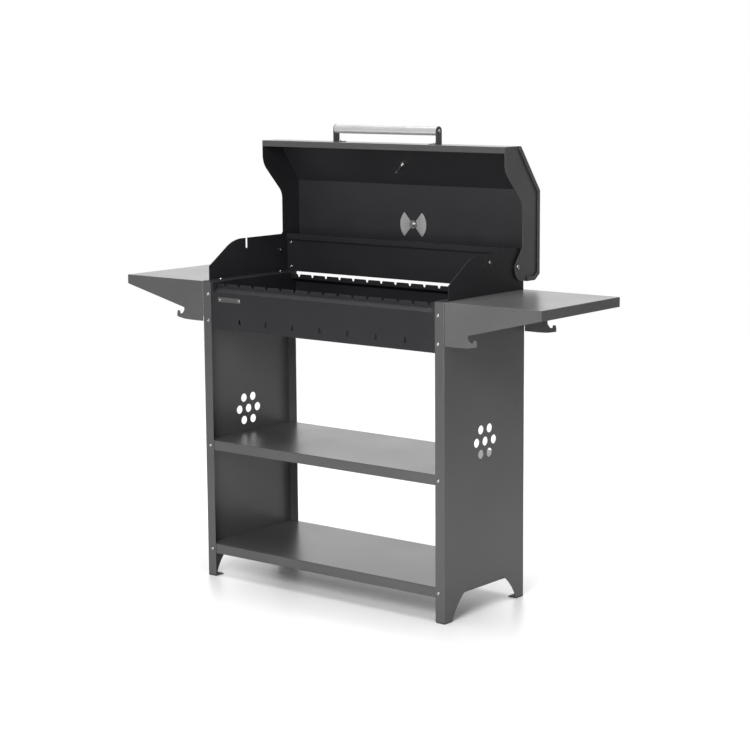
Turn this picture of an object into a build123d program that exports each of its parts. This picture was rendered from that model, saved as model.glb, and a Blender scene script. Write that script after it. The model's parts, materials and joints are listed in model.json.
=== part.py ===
import math
import os

from build123d import *

# Charcoal skewer grill: a sheet-metal stand with two shelves, a firebox hung between the two
# side panels, wind cheeks and a windscreen round the fire, a hinged lid that stands open at
# the rear, and a fixed table on each side.
# Millimetres. X runs along the grill, -Y is the front, Z is up from the floor.

os.makedirs("parts", exist_ok=True)

# Overall sizes
body_length = 850.0  # across the outer faces of the side panels
body_depth = 360.0  # front face to rear face of the stand
table_height = 850.0  # floor to the table tops
table_reach = 300.0  # each table, out from its side panel

# Sheets and clearances
sheet = 1.5  # stand, tables, cheeks and lid
firebox_sheet = 2.0  # walls and floor round the coals
shelf_play = 0.5  # each end of a shelf to its side panel
bend_radius = 2.0  # outside of each fold
rub_gap = 0.3  # between pieces that move past each other
pin_play = 0.05  # radial play of a pin that turns in its hole

# Stand
corner_flange = 30.0  # side panel's inward front and rear flanges
flange_corner_cut = 3.0
foot_width = 34.0
foot_arch_height = 78.0
foot_arch_flat = 160.0  # flat top of the arch between the feet
foot_arch_bulge = 8.0  # how far the arch's flanks bow towards its middle
foot_arch_corner = 15.0
pad_thickness = 3.0
pad_inset = 1.5  # pad's inner edges inside the foot's
pad_upstand = 14.0
pad_wall = 3.0
side_hole_radius = 12.0  # round vent holes in the side panels
side_hole_pitch = 38.0
side_holes_rise = 65.0  # centre of the holes above the middle shelf
middle_shelf_top = 397.0
lower_shelf_top = 96.0
shelf_lip = 28.0

# Firebox
firebox_depth = 134.0  # table top to the underside of the firebox
firebox_ledge_drop = 29.0  # the walls step inwards above this, below the table top
firebox_ledge_rise = 10.0
firebox_ledge_depth = 20.5
firebox_drop = 6.5  # notched tops below the table top
firebox_floor_seat = 26.0  # flange under the floor plate
firebox_width_margin = 38.0  # end wall's inner face to the side panel's outer face
notch_pitch = 51.3
notch_end_margin = 20.0  # least distance from the last notch to the end wall
notch_width = 7.5
notch_mouth = 11.0
notch_depth = 8.0
vent_pitch = 97.5
vent_end_margin = 50.0
vent_lift = 22.5  # above the underside of the firebox
vent_shift = 4.0  # the row of vents stands a little to the right
vent_radius = 4.4
vent_tip_radius = 2.0
vent_rise = 10.5
name_plate_size = (84.0, 14.0)
name_plate_corner = 3.0
name_plate_sheet = 1.0
name_plate_inset = 61.5  # plate's centre to the left end wall
name_plate_drop = 48.0  # plate's centre below the table top
name_plate_rivet_spacing = 72.0

# Cheeks and windscreen
cheek_inset = 3.0  # cheek's outer face inside the side panel's
cheek_flange = 26.0
cheek_front_inset = 23.0  # cheek's front edge behind the side panel's face
cheek_toe_inset = 0.5  # front end of its bottom flange behind the side panel's face
cheek_front_height = 40.0
cheek_height = 109.0
cheek_slope = 34.0  # degrees
cheek_shoulder_radius = 115.0
spit_slot_width = 8.0
spit_slot_depth = 30.0
windscreen_end_gap = 14.0  # each end to the side panel's outer face
windscreen_overhang = 1.0  # above and below the cheeks' rear flanges
windscreen_hood = 14.0
windscreen_lip = 16.0

# Tables
table_edge = 26.0
table_groove = 1.7  # apron's end to the side panel
apron_shoulder = 80.0  # lower end of the slanted edge, below the table top
apron_root = 113.5  # apron's lowest edge, below the table top
hook_reach = 103.0
hook_notch_start = 75.0
hook_floor = 98.0  # the notch's lowest point, below the table top
hook_tip = 90.0  # top of the hook's tip
hook_tip_width = 8.0
hook_root = 8.0  # width of the slanted back of the notch
table_bracket_height = 98.5  # plate screwed to the side panel

# Lid, as it stands open
pivot_inset = 37.0  # hinge line in front of the stand's rear face
pivot_rise = 63.0  # hinge line above the table top
lid_seat = 2.0  # closed lid above the side panels, clear of the cheeks' flanges
lid_front_inset = 2.0  # closed lid's front face behind the stand's
lid_crown = 97.0  # hinge line to the top panel's outer face
lid_tail = 41.0  # hinge line to the rear panel's outer face
lid_lip = 17.0
lid_front_panel = 68.0
lid_upper_chamfer = 121.5
lid_lower_chamfer_run = 22.0
lid_lower_chamfer_rise = 16.0
lid_tail_gap = 2.5  # rear panel's edge to the cheeks' rear face
lid_flange = 12.0
lid_flange_gap = 3.0
hinge_gap = 4.6  # cheek to lid side plate
hinge_spacer_wall = 4.0
ear_inset = 21.0  # ear's centre behind the hinge line
ear_drop = 5.0  # and below it
ear_shoulder_rise = 52.0  # above the hinge line, where the ear's straight edge ends
side_edge_inset = 21.5  # side plate's long edge behind the hinge line
side_edge_turn_low = 154.0  # below the lid's top, where the edge sweeps forward
side_edge_turn_high = 66.0
side_edge_low_radius = 45.0
side_edge_high_radius = 60.0

# Handle
handle_length = 360.0
handle_radius = 12.5
handle_wall = 1.5
handle_stand = 36.0
handle_bracket_sheet = 2.0
handle_bracket_radius = 13.0
handle_foot = 26.0
handle_back = 39.0  # handle's centre behind the lid's front edge
handle_plug_length = 14.0
plug_screw_gap = 2.0  # handle screw's end to the plug's end

# Thermometer
dial_radius = 30.0
dial_height = 11.0
dial_wall = 1.5
dial_sheet = 1.0
glass_thickness = 3.0
bezel_overhang = 1.5
bezel_width = 5.0
bezel_height = 2.0
needle_sheet = 0.8
needle_boss_radius = 3.0
needle_tail = 6.0
needle_half_width = 1.3
needle_tip_half_width = 0.3
needle_tip_gap = 10.0  # tip to the case's outer face
needle_turn = 225.0  # degrees; the cold end of the scale, down and to the left
spindle_radius = 1.0
neck_radius = 5.0
neck_length = 10.0
neck_nut = (16.0, 4.0)  # across flats, height
probe_radius = 3.0
probe_length = 40.0

# Damper
damper_outer_radius = 47.0
damper_hub_radius = 12.5
damper_port_width = 96.0  # degrees
damper_tip_radius = 3.0
damper_disc_radius = 52.0
damper_disc_sheet = 1.2
damper_overlap = 3.0  # degrees that the disc laps over each side of a port
damper_tab = (14.0, 12.0)  # width, reach
damper_washer = (12.0, 1.2)  # radius, sheet

# Fasteners: shank radius, head radius, head height, nut across flats, nut height
frame_screw = (3.0, 4.75, 3.3, 10.0, 5.0)
screen_screw = (2.5, 4.75, 2.75, 8.0, 4.0)
hinge_screw = (3.0, 6.0, 3.6, 10.0, 5.0)
plate_rivet = (1.6, 3.0, 1.2)  # shank radius, head radius, head height
head_round = 0.6  # share of a head's height that is rounded
socket_size = 0.6  # socket's radius as a share of the shank's
socket_depth = 0.55  # share of the head's height
screw_overrun = 1.0  # shank past its nut
frame_screw_inset = 19.5  # from the side panel's outer face
firebox_screw_drops = (35.0, 109.0)  # below the table top
shelf_screw_drop = 14.5
cheek_screw_spacing = 254.0
table_screw_drops = (25.0, 70.0)
table_screw_spacing = 240.0
screen_screw_rises = (12.7, 83.5)  # above the table top
screen_screw_inset = 20.0
motor_stud_place = (22.0, 85.0)  # Y, and height above the table top

# Worked out from the sizes above
half_length = body_length / 2
half_depth = body_depth / 2
panel_inside = half_length - sheet
face_inside = half_depth - sheet
flange_edge = half_length - corner_flange
end_inside = half_length - firebox_width_margin
firebox_bottom = table_height - firebox_depth
pivot_y = half_depth - pivot_inset
pivot_z = table_height + pivot_rise


def parallel_line(points, distance):
    """Corners of the line that runs at a distance to the right of a bent line."""
    directions = []
    for start, end in zip(points, points[1:]):
        length = math.dist(start, end)
        directions.append(((end[0] - start[0]) / length, (end[1] - start[1]) / length))
    corners = []
    for index, point in enumerate(points):
        before = directions[max(index - 1, 0)]
        after = directions[min(index, len(directions) - 1)]
        normal = (before[1] + after[1], -before[0] - after[0])
        scale = distance * 2 / (normal[0] ** 2 + normal[1] ** 2)
        corners.append((point[0] + normal[0] * scale, point[1] + normal[1] * scale))
    return corners


def folded_section(points, thickness):
    """Section of a bent sheet whose outer face follows the points, rounded outside each fold."""
    inner = parallel_line(points, thickness)
    corners = []
    for index in range(1, len(points) - 1):
        before, here, after = points[index - 1 : index + 2]
        turn = (here[0] - before[0]) * (after[1] - here[1]) - (here[1] - before[1]) * (after[0] - here[0])
        corners.append(here if turn < 0 else inner[index])
    with BuildSketch() as section:
        with BuildLine():
            Polyline(*points, *inner[::-1], close=True)
        make_face()
        folds = [v for v in section.vertices() if min(math.dist((v.X, v.Y), c) for c in corners) < 0.01]
        fillet(folds, bend_radius)
    return section.sketch


def write(block, name):
    """Label a finished piece and write it to its own file."""
    block.part.label = name
    export_step(block.part, f"parts/{name}.step")


def screw(size, grip, nut_space):
    """Domed socket screw with its head above the XY plane and its shank below it."""
    shank, head, height = size[:3]
    with BuildPart() as piece:
        Cylinder(head, height, align=(Align.CENTER, Align.CENTER, Align.MIN))
        fillet(piece.edges().filter_by(GeomType.CIRCLE).sort_by(Axis.Z)[-1], height * head_round)
        Cylinder(shank, grip + nut_space, align=(Align.CENTER, Align.CENTER, Align.MAX))
        with BuildSketch(Plane.XY.offset(height)):
            RegularPolygon(shank * socket_size, 6)
        extrude(amount=-height * socket_depth, mode=Mode.SUBTRACT)
    return piece.part


def nut(size, depth):
    """Hexagon nut whose bearing face lies at a depth below the XY plane."""
    shank, flats, height = size[0], size[3], size[4]
    with BuildPart() as piece:
        with BuildSketch(Plane.XY.offset(-depth)):
            RegularPolygon(flats / 2, 6, major_radius=False)
            Circle(shank, mode=Mode.SUBTRACT)
        extrude(amount=-height)
    return piece.part


def facing(direction, points):
    """Planes at the points whose outward side faces a direction."""
    along = (0, 1, 0) if abs(direction[0]) > 0.5 else (1, 0, 0)
    return [Plane(origin=point, x_dir=along, z_dir=direction) for point in points]


front = (0, -1, 0)
rear = (0, 1, 0)

# Heights and places of the frame screws
shelf_screw_heights = [top - shelf_screw_drop for top in (middle_shelf_top, lower_shelf_top)]
firebox_screw_heights = [table_height - drop for drop in firebox_screw_drops]
screw_x = half_length - frame_screw_inset
frame_screw_heights = firebox_screw_heights + shelf_screw_heights
frame_screw_points = [(side * screw_x, z) for side in (-1, 1) for z in frame_screw_heights]
cheek_screw_points = [
    (side * screw_x, y) for side in (-1, 1) for y in (-cheek_screw_spacing / 2, cheek_screw_spacing / 2)
]
table_screw_points = [
    (y, table_height - drop)
    for y in (-table_screw_spacing / 2, table_screw_spacing / 2)
    for drop in table_screw_drops
]
screen_screw_x = half_length - screen_screw_inset
screen_screw_points = [
    (side * screen_screw_x, table_height + rise) for side in (-1, 1) for rise in screen_screw_rises
]

# ---------------------------------------------------------------- side panels
# A channel: web, front and rear flanges turned inwards, and a top flange.
screen_front = half_depth - 3 * sheet
top_flange_rear = screen_front - shelf_play
hex_centres = [
    (side_hole_pitch * math.cos(math.radians(turn)), side_hole_pitch * math.sin(math.radians(turn)))
    for turn in range(0, 360, 60)
]
with BuildPart() as right_side_panel:
    with BuildSketch(Plane.YZ.offset(panel_inside)) as panel_web:
        with Locations((0, pad_thickness)):
            Rectangle(body_depth, table_height - pad_thickness, align=(Align.CENTER, Align.MIN))
        foot_inner = half_depth - foot_width
        arch_side = (foot_inner + foot_arch_flat / 2) / 2
        with BuildLine():
            rear_flank = ThreePointArc(
                (foot_inner, 0),
                (arch_side + foot_arch_bulge / 2, foot_arch_height / 2 + foot_arch_bulge),
                (foot_arch_flat / 2, foot_arch_height),
            )
            Line((foot_arch_flat / 2, foot_arch_height), (-foot_arch_flat / 2, foot_arch_height))
            mirror(rear_flank, about=Plane.XZ.rotated((0, 0, 90)))
            Line((-foot_inner, 0), (foot_inner, 0))
        make_face(mode=Mode.SUBTRACT)
        arch_corners = [v for v in panel_web.vertices() if abs(v.Y - foot_arch_height) < 0.01]
        fillet(arch_corners, foot_arch_corner)
        with Locations((0, middle_shelf_top + side_holes_rise)):
            Circle(side_hole_radius, mode=Mode.SUBTRACT)
            with Locations(*hex_centres):
                Circle(side_hole_radius, mode=Mode.SUBTRACT)
        with Locations(*table_screw_points):
            Circle(frame_screw[0], mode=Mode.SUBTRACT)
    extrude(amount=sheet)
    for face_plane in (Plane.XZ.offset(half_depth - sheet), Plane.XZ.offset(-half_depth)):
        with BuildSketch(face_plane):
            with Locations((flange_edge, pad_thickness)):
                Rectangle(corner_flange, table_height - pad_thickness, align=Align.MIN)
            with Locations((flange_edge, table_height)):
                Rectangle(
                    flange_corner_cut * math.sqrt(2),
                    flange_corner_cut * math.sqrt(2),
                    rotation=45,
                    mode=Mode.SUBTRACT,
                )
            with Locations(*[point for point in frame_screw_points if point[0] > 0]):
                Circle(frame_screw[0], mode=Mode.SUBTRACT)
        extrude(amount=sheet)
    with BuildSketch(Plane.XY.offset(table_height - sheet)):
        with Locations((flange_edge, -half_depth)):
            Rectangle(corner_flange, half_depth + top_flange_rear, align=Align.MIN)
        with Locations((flange_edge, -half_depth)):
            Rectangle(2 * flange_corner_cut, 2 * sheet, mode=Mode.SUBTRACT)
        with Locations(*[point for point in cheek_screw_points if point[0] > 0]):
            Circle(frame_screw[0], mode=Mode.SUBTRACT)
    extrude(amount=sheet)
    upright_folds = [
        edge
        for edge in right_side_panel.edges().filter_by(Axis.Z)
        if abs(edge.center().X - half_length) < 0.01 and edge.length > table_height / 2
    ]
    fillet(upright_folds, bend_radius)
with BuildPart() as left_side_panel:
    mirror(right_side_panel.part, about=Plane.YZ)
write(right_side_panel, "right_side_panel")
write(left_side_panel, "left_side_panel")

# ---------------------------------------------------------------- foot pads
# A moulded glide under each corner, with a low upstand inside the corner.
pad_length = corner_flange - pad_inset
pad_depth = foot_width - pad_inset
with BuildPart() as foot_pads:
    for x_side in (-1, 1):
        for y_side in (-1, 1):
            x_near = min(x_side * half_length, x_side * (half_length - pad_length))
            y_near = min(y_side * half_depth, y_side * (half_depth - pad_depth))
            with Locations((x_near, y_near, 0)):
                Box(pad_length, pad_depth, pad_thickness, align=Align.MIN)
            x_up = min(x_side * panel_inside, x_side * (panel_inside - pad_wall))
            y_up = min(y_side * face_inside, y_side * (half_depth - pad_depth))
            with Locations((x_up, y_up, pad_thickness)):
                Box(pad_wall, pad_depth - sheet, pad_upstand, align=Align.MIN)
    corner_edges = [
        edge
        for edge in foot_pads.edges().filter_by(Axis.Z)
        if abs(abs(edge.center().X) - half_length) < 0.01 and abs(abs(edge.center().Y) - half_depth) < 0.01
    ]
    fillet(corner_edges, bend_radius)
write(foot_pads, "foot_pads")

# ---------------------------------------------------------------- shelves
shelf_half = panel_inside - shelf_play


def make_shelf(top):
    """Folded tray, lips down on all four sides, screwed behind the panels' flanges."""
    with BuildPart() as shelf:
        with Locations((0, 0, top)):
            Box(2 * shelf_half, 2 * face_inside, shelf_lip, align=(Align.CENTER, Align.CENTER, Align.MAX))
        with Locations((0, 0, top - sheet)):
            Box(
                2 * (shelf_half - sheet),
                2 * (face_inside - sheet),
                shelf_lip,
                align=(Align.CENTER, Align.CENTER, Align.MAX),
                mode=Mode.SUBTRACT,
            )
        fillet(shelf.faces().sort_by(Axis.Z)[-1].edges(), bend_radius)
        with BuildSketch(Plane.XZ):
            with Locations((-screw_x, top - shelf_screw_drop), (screw_x, top - shelf_screw_drop)):
                Circle(frame_screw[0])
        extrude(amount=half_depth, both=True, mode=Mode.SUBTRACT)
    return shelf


for shelf_name, shelf_top in (("middle_shelf", middle_shelf_top), ("lower_shelf", lower_shelf_top)):
    write(make_shelf(shelf_top), shelf_name)

# ---------------------------------------------------------------- firebox
# Front and rear walls are the same folded sheet: floor seat, wall, ledge and notched top.
firebox_top = table_height - firebox_drop
firebox_ledge = table_height - firebox_ledge_drop
wall_line = [
    (-face_inside + firebox_floor_seat, firebox_bottom),
    (-face_inside, firebox_bottom),
    (-face_inside, firebox_ledge),
    (-face_inside + firebox_ledge_depth, firebox_ledge + firebox_ledge_rise),
    (-face_inside + firebox_ledge_depth, firebox_top),
]
name_plate_x = name_plate_inset - end_inside
name_plate_z = table_height - name_plate_drop
name_plate_holes = [
    (name_plate_x + side * name_plate_rivet_spacing / 2, name_plate_z) for side in (-1, 1)
]
notches_each_side = int((end_inside - notch_end_margin) / notch_pitch)
vents_each_side = int((end_inside - vent_end_margin) / vent_pitch)
vent_height = firebox_bottom + vent_lift


def make_long_wall():
    """The front wall, before its plate's rivet holes."""
    with BuildPart() as wall:
        with BuildSketch(Plane.YZ.offset(-end_inside)):
            add(folded_section(wall_line, firebox_sheet))
        extrude(amount=2 * end_inside)
        with BuildSketch(Plane.XZ):
            for index in range(-notches_each_side, notches_each_side + 1):
                round_rise = notch_depth - notch_width / 2
                with Locations((index * notch_pitch, firebox_top - round_rise)):
                    Circle(notch_width / 2)
                    Polygon(
                        (-notch_width / 2, 0),
                        (notch_width / 2, 0),
                        (notch_mouth / 2, round_rise),
                        (-notch_mouth / 2, round_rise),
                        align=None,
                    )
            for index in range(-vents_each_side, vents_each_side + 1):
                with Locations((index * vent_pitch + vent_shift, vent_height)):
                    Circle(vent_radius)
                    with Locations((0, vent_rise)):
                        Circle(vent_tip_radius)
                    Polygon(
                        (-vent_radius, 0),
                        (vent_radius, 0),
                        (vent_tip_radius, vent_rise),
                        (-vent_tip_radius, vent_rise),
                        align=None,
                    )
        extrude(amount=half_depth, mode=Mode.SUBTRACT)
    return wall.part


long_wall = make_long_wall()
with BuildPart() as firebox_front_wall:
    add(long_wall)
    with BuildSketch(Plane.XZ):
        with Locations(*name_plate_holes):
            Circle(plate_rivet[0])
    extrude(amount=half_depth, mode=Mode.SUBTRACT)
with BuildPart() as firebox_rear_wall:
    mirror(long_wall, about=Plane.XZ)
write(firebox_front_wall, "firebox_front_wall")
write(firebox_rear_wall, "firebox_rear_wall")

# End walls: a web with outward flanges that are screwed behind the side panel's own flanges.
with BuildPart() as firebox_right_end:
    with Locations((end_inside, 0, firebox_bottom)):
        Box(
            firebox_sheet,
            2 * face_inside,
            table_height - sheet - firebox_bottom,
            align=(Align.MIN, Align.CENTER, Align.MIN),
        )
    for start in (-face_inside, face_inside - firebox_sheet):
        with Locations((end_inside, start, firebox_bottom)):
            Box(
                panel_inside - shelf_play - end_inside,
                firebox_sheet,
                table_height - sheet - firebox_bottom,
                align=Align.MIN,
            )
    with Locations((end_inside, -face_inside, table_height - sheet - firebox_sheet)):
        Box(
            panel_inside - shelf_play - end_inside,
            face_inside + top_flange_rear,
            firebox_sheet,
            align=Align.MIN,
        )
    with BuildSketch(Plane.XZ):
        with Locations(*[(screw_x, z) for z in firebox_screw_heights]):
            Circle(frame_screw[0])
    extrude(amount=half_depth, both=True, mode=Mode.SUBTRACT)
    with BuildSketch(Plane.XY.offset(table_height)):
        with Locations(*[point for point in cheek_screw_points if point[0] > 0]):
            Circle(frame_screw[0])
    extrude(amount=-2 * firebox_sheet - sheet, mode=Mode.SUBTRACT)
with BuildPart() as firebox_left_end:
    mirror(firebox_right_end.part, about=Plane.YZ)
write(firebox_right_end, "firebox_right_end")
write(firebox_left_end, "firebox_left_end")

with BuildPart() as firebox_floor:
    with Locations((0, 0, firebox_bottom + firebox_sheet)):
        Box(
            2 * end_inside,
            2 * (face_inside - firebox_sheet),
            firebox_sheet,
            align=(Align.CENTER, Align.CENTER, Align.MIN),
        )
write(firebox_floor, "firebox_floor")

# Blank plate riveted to the front wall
with BuildPart() as name_plate:
    with BuildSketch(Plane.XZ.offset(face_inside)):
        with Locations((name_plate_x, name_plate_z)):
            RectangleRounded(*name_plate_size, name_plate_corner)
        with Locations(*name_plate_holes):
            Circle(plate_rivet[0], mode=Mode.SUBTRACT)
    extrude(amount=name_plate_sheet)
write(name_plate, "name_plate")

with BuildPart() as rivet:
    Cylinder(plate_rivet[1], plate_rivet[2], align=(Align.CENTER, Align.CENTER, Align.MIN))
    fillet(rivet.edges().filter_by(GeomType.CIRCLE).sort_by(Axis.Z)[-1], plate_rivet[2] * head_round)
    rivet_grip = name_plate_sheet + firebox_sheet
    Cylinder(plate_rivet[0], rivet_grip, align=(Align.CENTER, Align.CENTER, Align.MAX))
with BuildPart() as name_plate_rivets:
    with Locations(*facing(front, [(x, -face_inside - name_plate_sheet, z) for x, z in name_plate_holes])):
        add(rivet.part)
write(name_plate_rivets, "name_plate_rivets")

# ---------------------------------------------------------------- cheeks and windscreen
cheek_outside = half_length - cheek_inset
cheek_inside = cheek_outside - sheet
cheek_flange_edge = cheek_inside - cheek_flange + sheet
cheek_top = table_height + cheek_height
slope_run = (cheek_height - cheek_front_height) / math.tan(math.radians(cheek_slope))
cheek_rear = face_inside
cheek_front = half_depth - cheek_front_inset
motor_stud_point = (motor_stud_place[0], table_height + motor_stud_place[1])
with BuildPart() as right_cheek:
    with BuildSketch(Plane.YZ.offset(cheek_inside)):
        with BuildLine():
            FilletPolyline(
                (-cheek_front, table_height + cheek_front_height),
                (-cheek_front + slope_run, cheek_top),
                (cheek_rear, cheek_top),
                radius=cheek_shoulder_radius,
            )
            Polyline(
                (cheek_rear, cheek_top),
                (cheek_rear, table_height),
                (-cheek_front, table_height),
                (-cheek_front, table_height + cheek_front_height),
            )
        make_face()
        with Locations((0, cheek_top - spit_slot_depth + spit_slot_width / 2)):
            Circle(spit_slot_width / 2, mode=Mode.SUBTRACT)
            Rectangle(
                spit_slot_width, spit_slot_depth, align=(Align.CENTER, Align.MIN), mode=Mode.SUBTRACT
            )
        with Locations((pivot_y, pivot_z)):
            Circle(hinge_screw[0], mode=Mode.SUBTRACT)
    extrude(amount=sheet)
    with BuildSketch(Plane.XY.offset(table_height)):
        toe = half_depth - cheek_toe_inset
        with Locations((cheek_flange_edge, -toe)):
            Rectangle(cheek_outside - cheek_flange_edge, toe + top_flange_rear, align=Align.MIN)
        with Locations(*[point for point in cheek_screw_points if point[0] > 0]):
            Circle(frame_screw[0], mode=Mode.SUBTRACT)
    extrude(amount=sheet)
    with BuildSketch(Plane.XZ.offset(-cheek_rear)):
        with Locations((cheek_flange_edge, table_height)):
            Rectangle(cheek_outside - cheek_flange_edge, cheek_height, align=Align.MIN)
        with Locations(*[point for point in screen_screw_points if point[0] > 0]):
            Circle(screen_screw[0], mode=Mode.SUBTRACT)
    extrude(amount=sheet)
with BuildPart() as left_cheek:
    mirror(right_cheek.part, about=Plane.YZ)
# Only the right cheek carries the stud for the spit motor's bracket.
with right_cheek:
    with BuildSketch(Plane.YZ.offset(cheek_inside)):
        with Locations(motor_stud_point):
            Circle(screen_screw[0])
    extrude(amount=sheet, mode=Mode.SUBTRACT)
write(right_cheek, "right_cheek")
write(left_cheek, "left_cheek")

# The windscreen hangs in front of the cheeks' rear flanges, its top folded over into a hood.
screen_top = cheek_top + windscreen_overhang
screen_bottom = table_height - windscreen_overhang
windscreen_length = body_length - 2 * windscreen_end_gap
screen_back = cheek_rear - sheet
with BuildPart() as windscreen:
    with BuildSketch(Plane.YZ.offset(-windscreen_length / 2)):
        screen_line = [
            (screen_back, screen_bottom),
            (screen_back, screen_top),
            (screen_back - windscreen_hood, screen_top),
            (screen_back - windscreen_hood, screen_top - windscreen_lip),
        ]
        add(folded_section(screen_line[::-1], sheet))
    extrude(amount=windscreen_length)
    with BuildSketch(Plane.XZ):
        with Locations(*screen_screw_points):
            Circle(screen_screw[0])
    extrude(amount=-half_depth, mode=Mode.SUBTRACT)
write(windscreen, "windscreen")

# ---------------------------------------------------------------- side tables
# One folded sheet: top, front and rear aprons cut to a tool hook, and the outer edge. A plate
# welded under the top's inner end is screwed to the side panel.
hook_line = [
    (0, table_height),
    (table_reach, table_height),
    (table_reach, table_height - table_edge),
    (hook_notch_start, table_height - apron_shoulder),
    (hook_notch_start, table_height - apron_shoulder - hook_root),
    (hook_notch_start + hook_root, table_height - hook_floor),
    (hook_reach - 1.5 * hook_tip_width, table_height - hook_floor),
    (hook_reach - 1.25 * hook_tip_width, table_height - hook_tip),
    (hook_reach - 0.25 * hook_tip_width, table_height - hook_tip),
    (hook_reach, table_height - hook_floor),
    (hook_reach, table_height - apron_root + 0.75 * hook_root),
    (hook_notch_start, table_height - apron_root + bend_radius / 2),
    (hook_notch_start - 3.5 * hook_root, table_height - apron_root),
    (0, table_height - apron_root),
]
with BuildPart() as right_table:
    with Locations((half_length, 0, table_height)):
        Box(table_reach, body_depth, sheet, align=(Align.MIN, Align.CENTER, Align.MAX))
    with Locations((half_length + table_reach, 0, table_height)):
        Box(sheet, body_depth, table_edge, align=(Align.MAX, Align.CENTER, Align.MAX))
    for face_plane in (Plane.XZ.offset(half_depth - sheet), Plane.XZ.offset(-half_depth)):
        with BuildSketch(face_plane):
            with BuildLine():
                Polyline(*[(half_length + reach, z) for reach, z in hook_line], close=True)
            make_face()
        extrude(amount=sheet)
    top_edges = right_table.faces().sort_by(Axis.Z)[-1].outer_wire().edges()
    fillet(top_edges.sort_by(Axis.X)[1:], bend_radius)
    apron_height = apron_root - bend_radius
    for y_side in (-1, 1):
        with Locations((half_length, y_side * half_depth, table_height - bend_radius)):
            Box(
                table_groove,
                2 * sheet,
                2 * apron_height,
                align=(Align.MIN, Align.CENTER, Align.MAX),
                mode=Mode.SUBTRACT,
            )
with BuildPart() as left_table:
    mirror(right_table.part, about=Plane.YZ)
write(right_table, "right_table")
write(left_table, "left_table")

with BuildPart() as right_table_bracket:
    with Locations((half_length, 0, table_height - sheet)):
        Box(sheet, 2 * face_inside, table_bracket_height, align=(Align.MIN, Align.CENTER, Align.MAX))
    with BuildSketch(Plane.YZ):
        with Locations(*table_screw_points):
            Circle(frame_screw[0])
    extrude(amount=half_length + 2 * sheet, mode=Mode.SUBTRACT)
with BuildPart() as left_table_bracket:
    mirror(right_table_bracket.part, about=Plane.YZ)
write(right_table_bracket, "right_table_bracket")
write(left_table_bracket, "left_table_bracket")

# ---------------------------------------------------------------- lid
plate_inside = cheek_outside + hinge_gap
plate_outside = plate_inside + sheet
flange_inside = plate_outside + lid_flange_gap
lid_half = flange_inside + sheet
lid_front = pivot_y - pivot_rise + lid_seat
lid_front_length = pivot_y + half_depth - lid_front_inset
lid_top = pivot_z + lid_front_length
lid_back = pivot_y + lid_crown
lid_bottom = pivot_z - lid_tail
lid_tail_edge = half_depth - sheet + lid_tail_gap
lid_shoulder = lid_front + lid_front_panel
front_line = [(lid_front, lid_top - lid_lip), (lid_front, lid_top), (lid_shoulder, lid_top)]
back_line = [
    (lid_shoulder, lid_top),
    (lid_back, lid_top - lid_upper_chamfer),
    (lid_back, lid_bottom + lid_lower_chamfer_rise),
    (lid_back - lid_lower_chamfer_run, lid_bottom),
    (lid_tail_edge, lid_bottom),
]
inner_back_line = parallel_line(back_line, sheet)
damper_z = (lid_bottom + lid_lower_chamfer_rise + lid_top - lid_upper_chamfer) / 2

# Local plane on the upper chamfer's outer face, at its middle
chamfer_middle = ((lid_shoulder + lid_back) / 2, lid_top - lid_upper_chamfer / 2)
chamfer_run = lid_back - lid_shoulder
chamfer_length = math.hypot(chamfer_run, lid_upper_chamfer)
chamfer_normal = (0, lid_upper_chamfer / chamfer_length, chamfer_run / chamfer_length)
dial_plane = Plane(origin=(0, *chamfer_middle), x_dir=(1, 0, 0), z_dir=chamfer_normal)

# Screws through the handle brackets' feet
handle_y = lid_front + handle_back
handle_z = lid_top + handle_stand
bracket_face = handle_length / 2
bracket_screw_x = bracket_face + handle_bracket_sheet - handle_foot / 2 - handle_bracket_sheet / 2
bracket_screw_points = [(side * bracket_screw_x, handle_y) for side in (-1, 1)]


def damper_ports(angle, width):
    """Two facing sectors round the damper's hub."""
    reach = 2 * damper_outer_radius
    rise = reach * math.sin(math.radians(width / 2))
    run = reach * math.cos(math.radians(width / 2))
    with BuildSketch() as ports:
        Circle(damper_outer_radius)
        Circle(damper_hub_radius, mode=Mode.SUBTRACT)
        Polygon((0, 0), (run, rise), (-run, rise), align=None, mode=Mode.SUBTRACT)
        Polygon((0, 0), (run, -rise), (-run, -rise), align=None, mode=Mode.SUBTRACT)
        tips = [v for v in ports.vertices() if math.hypot(v.X, v.Y) > 2 * damper_hub_radius]
        fillet(tips, damper_tip_radius)
    return ports.sketch.rotate(Axis.Z, angle)


# The lid is two folded sheets welded along the shoulder: the front sheet fits between the side
# plates, the wider rear sheet carries the thermometer and the damper.
with BuildPart() as lid_rear_sheet:
    with BuildSketch(Plane.YZ.offset(-lid_half)):
        add(folded_section(back_line, sheet))
    extrude(amount=2 * lid_half)
    for start in (-lid_half, flange_inside):
        with BuildSketch(Plane.YZ.offset(start)):
            add(folded_section(back_line, lid_flange))
        extrude(amount=sheet)
    with BuildSketch(dial_plane):
        Circle(neck_radius)
    extrude(amount=-2 * sheet, mode=Mode.SUBTRACT)
    with BuildSketch(Plane(origin=(0, lid_back, damper_z), x_dir=(1, 0, 0), z_dir=front)):
        add(damper_ports(0, damper_port_width))
        Circle(frame_screw[0])
    extrude(amount=2 * sheet, mode=Mode.SUBTRACT)
write(lid_rear_sheet, "lid_rear_sheet")

with BuildPart() as lid_front_sheet:
    with BuildSketch(Plane.YZ.offset(-plate_inside)):
        add(folded_section(front_line, sheet))
    extrude(amount=2 * plate_inside)
    add(lid_rear_sheet.part, mode=Mode.SUBTRACT)
    with BuildSketch(Plane.XY.offset(lid_top)):
        with Locations(*bracket_screw_points):
            Circle(screen_screw[0])
    extrude(amount=-2 * sheet, mode=Mode.SUBTRACT)
write(lid_front_sheet, "lid_front_sheet")

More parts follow.
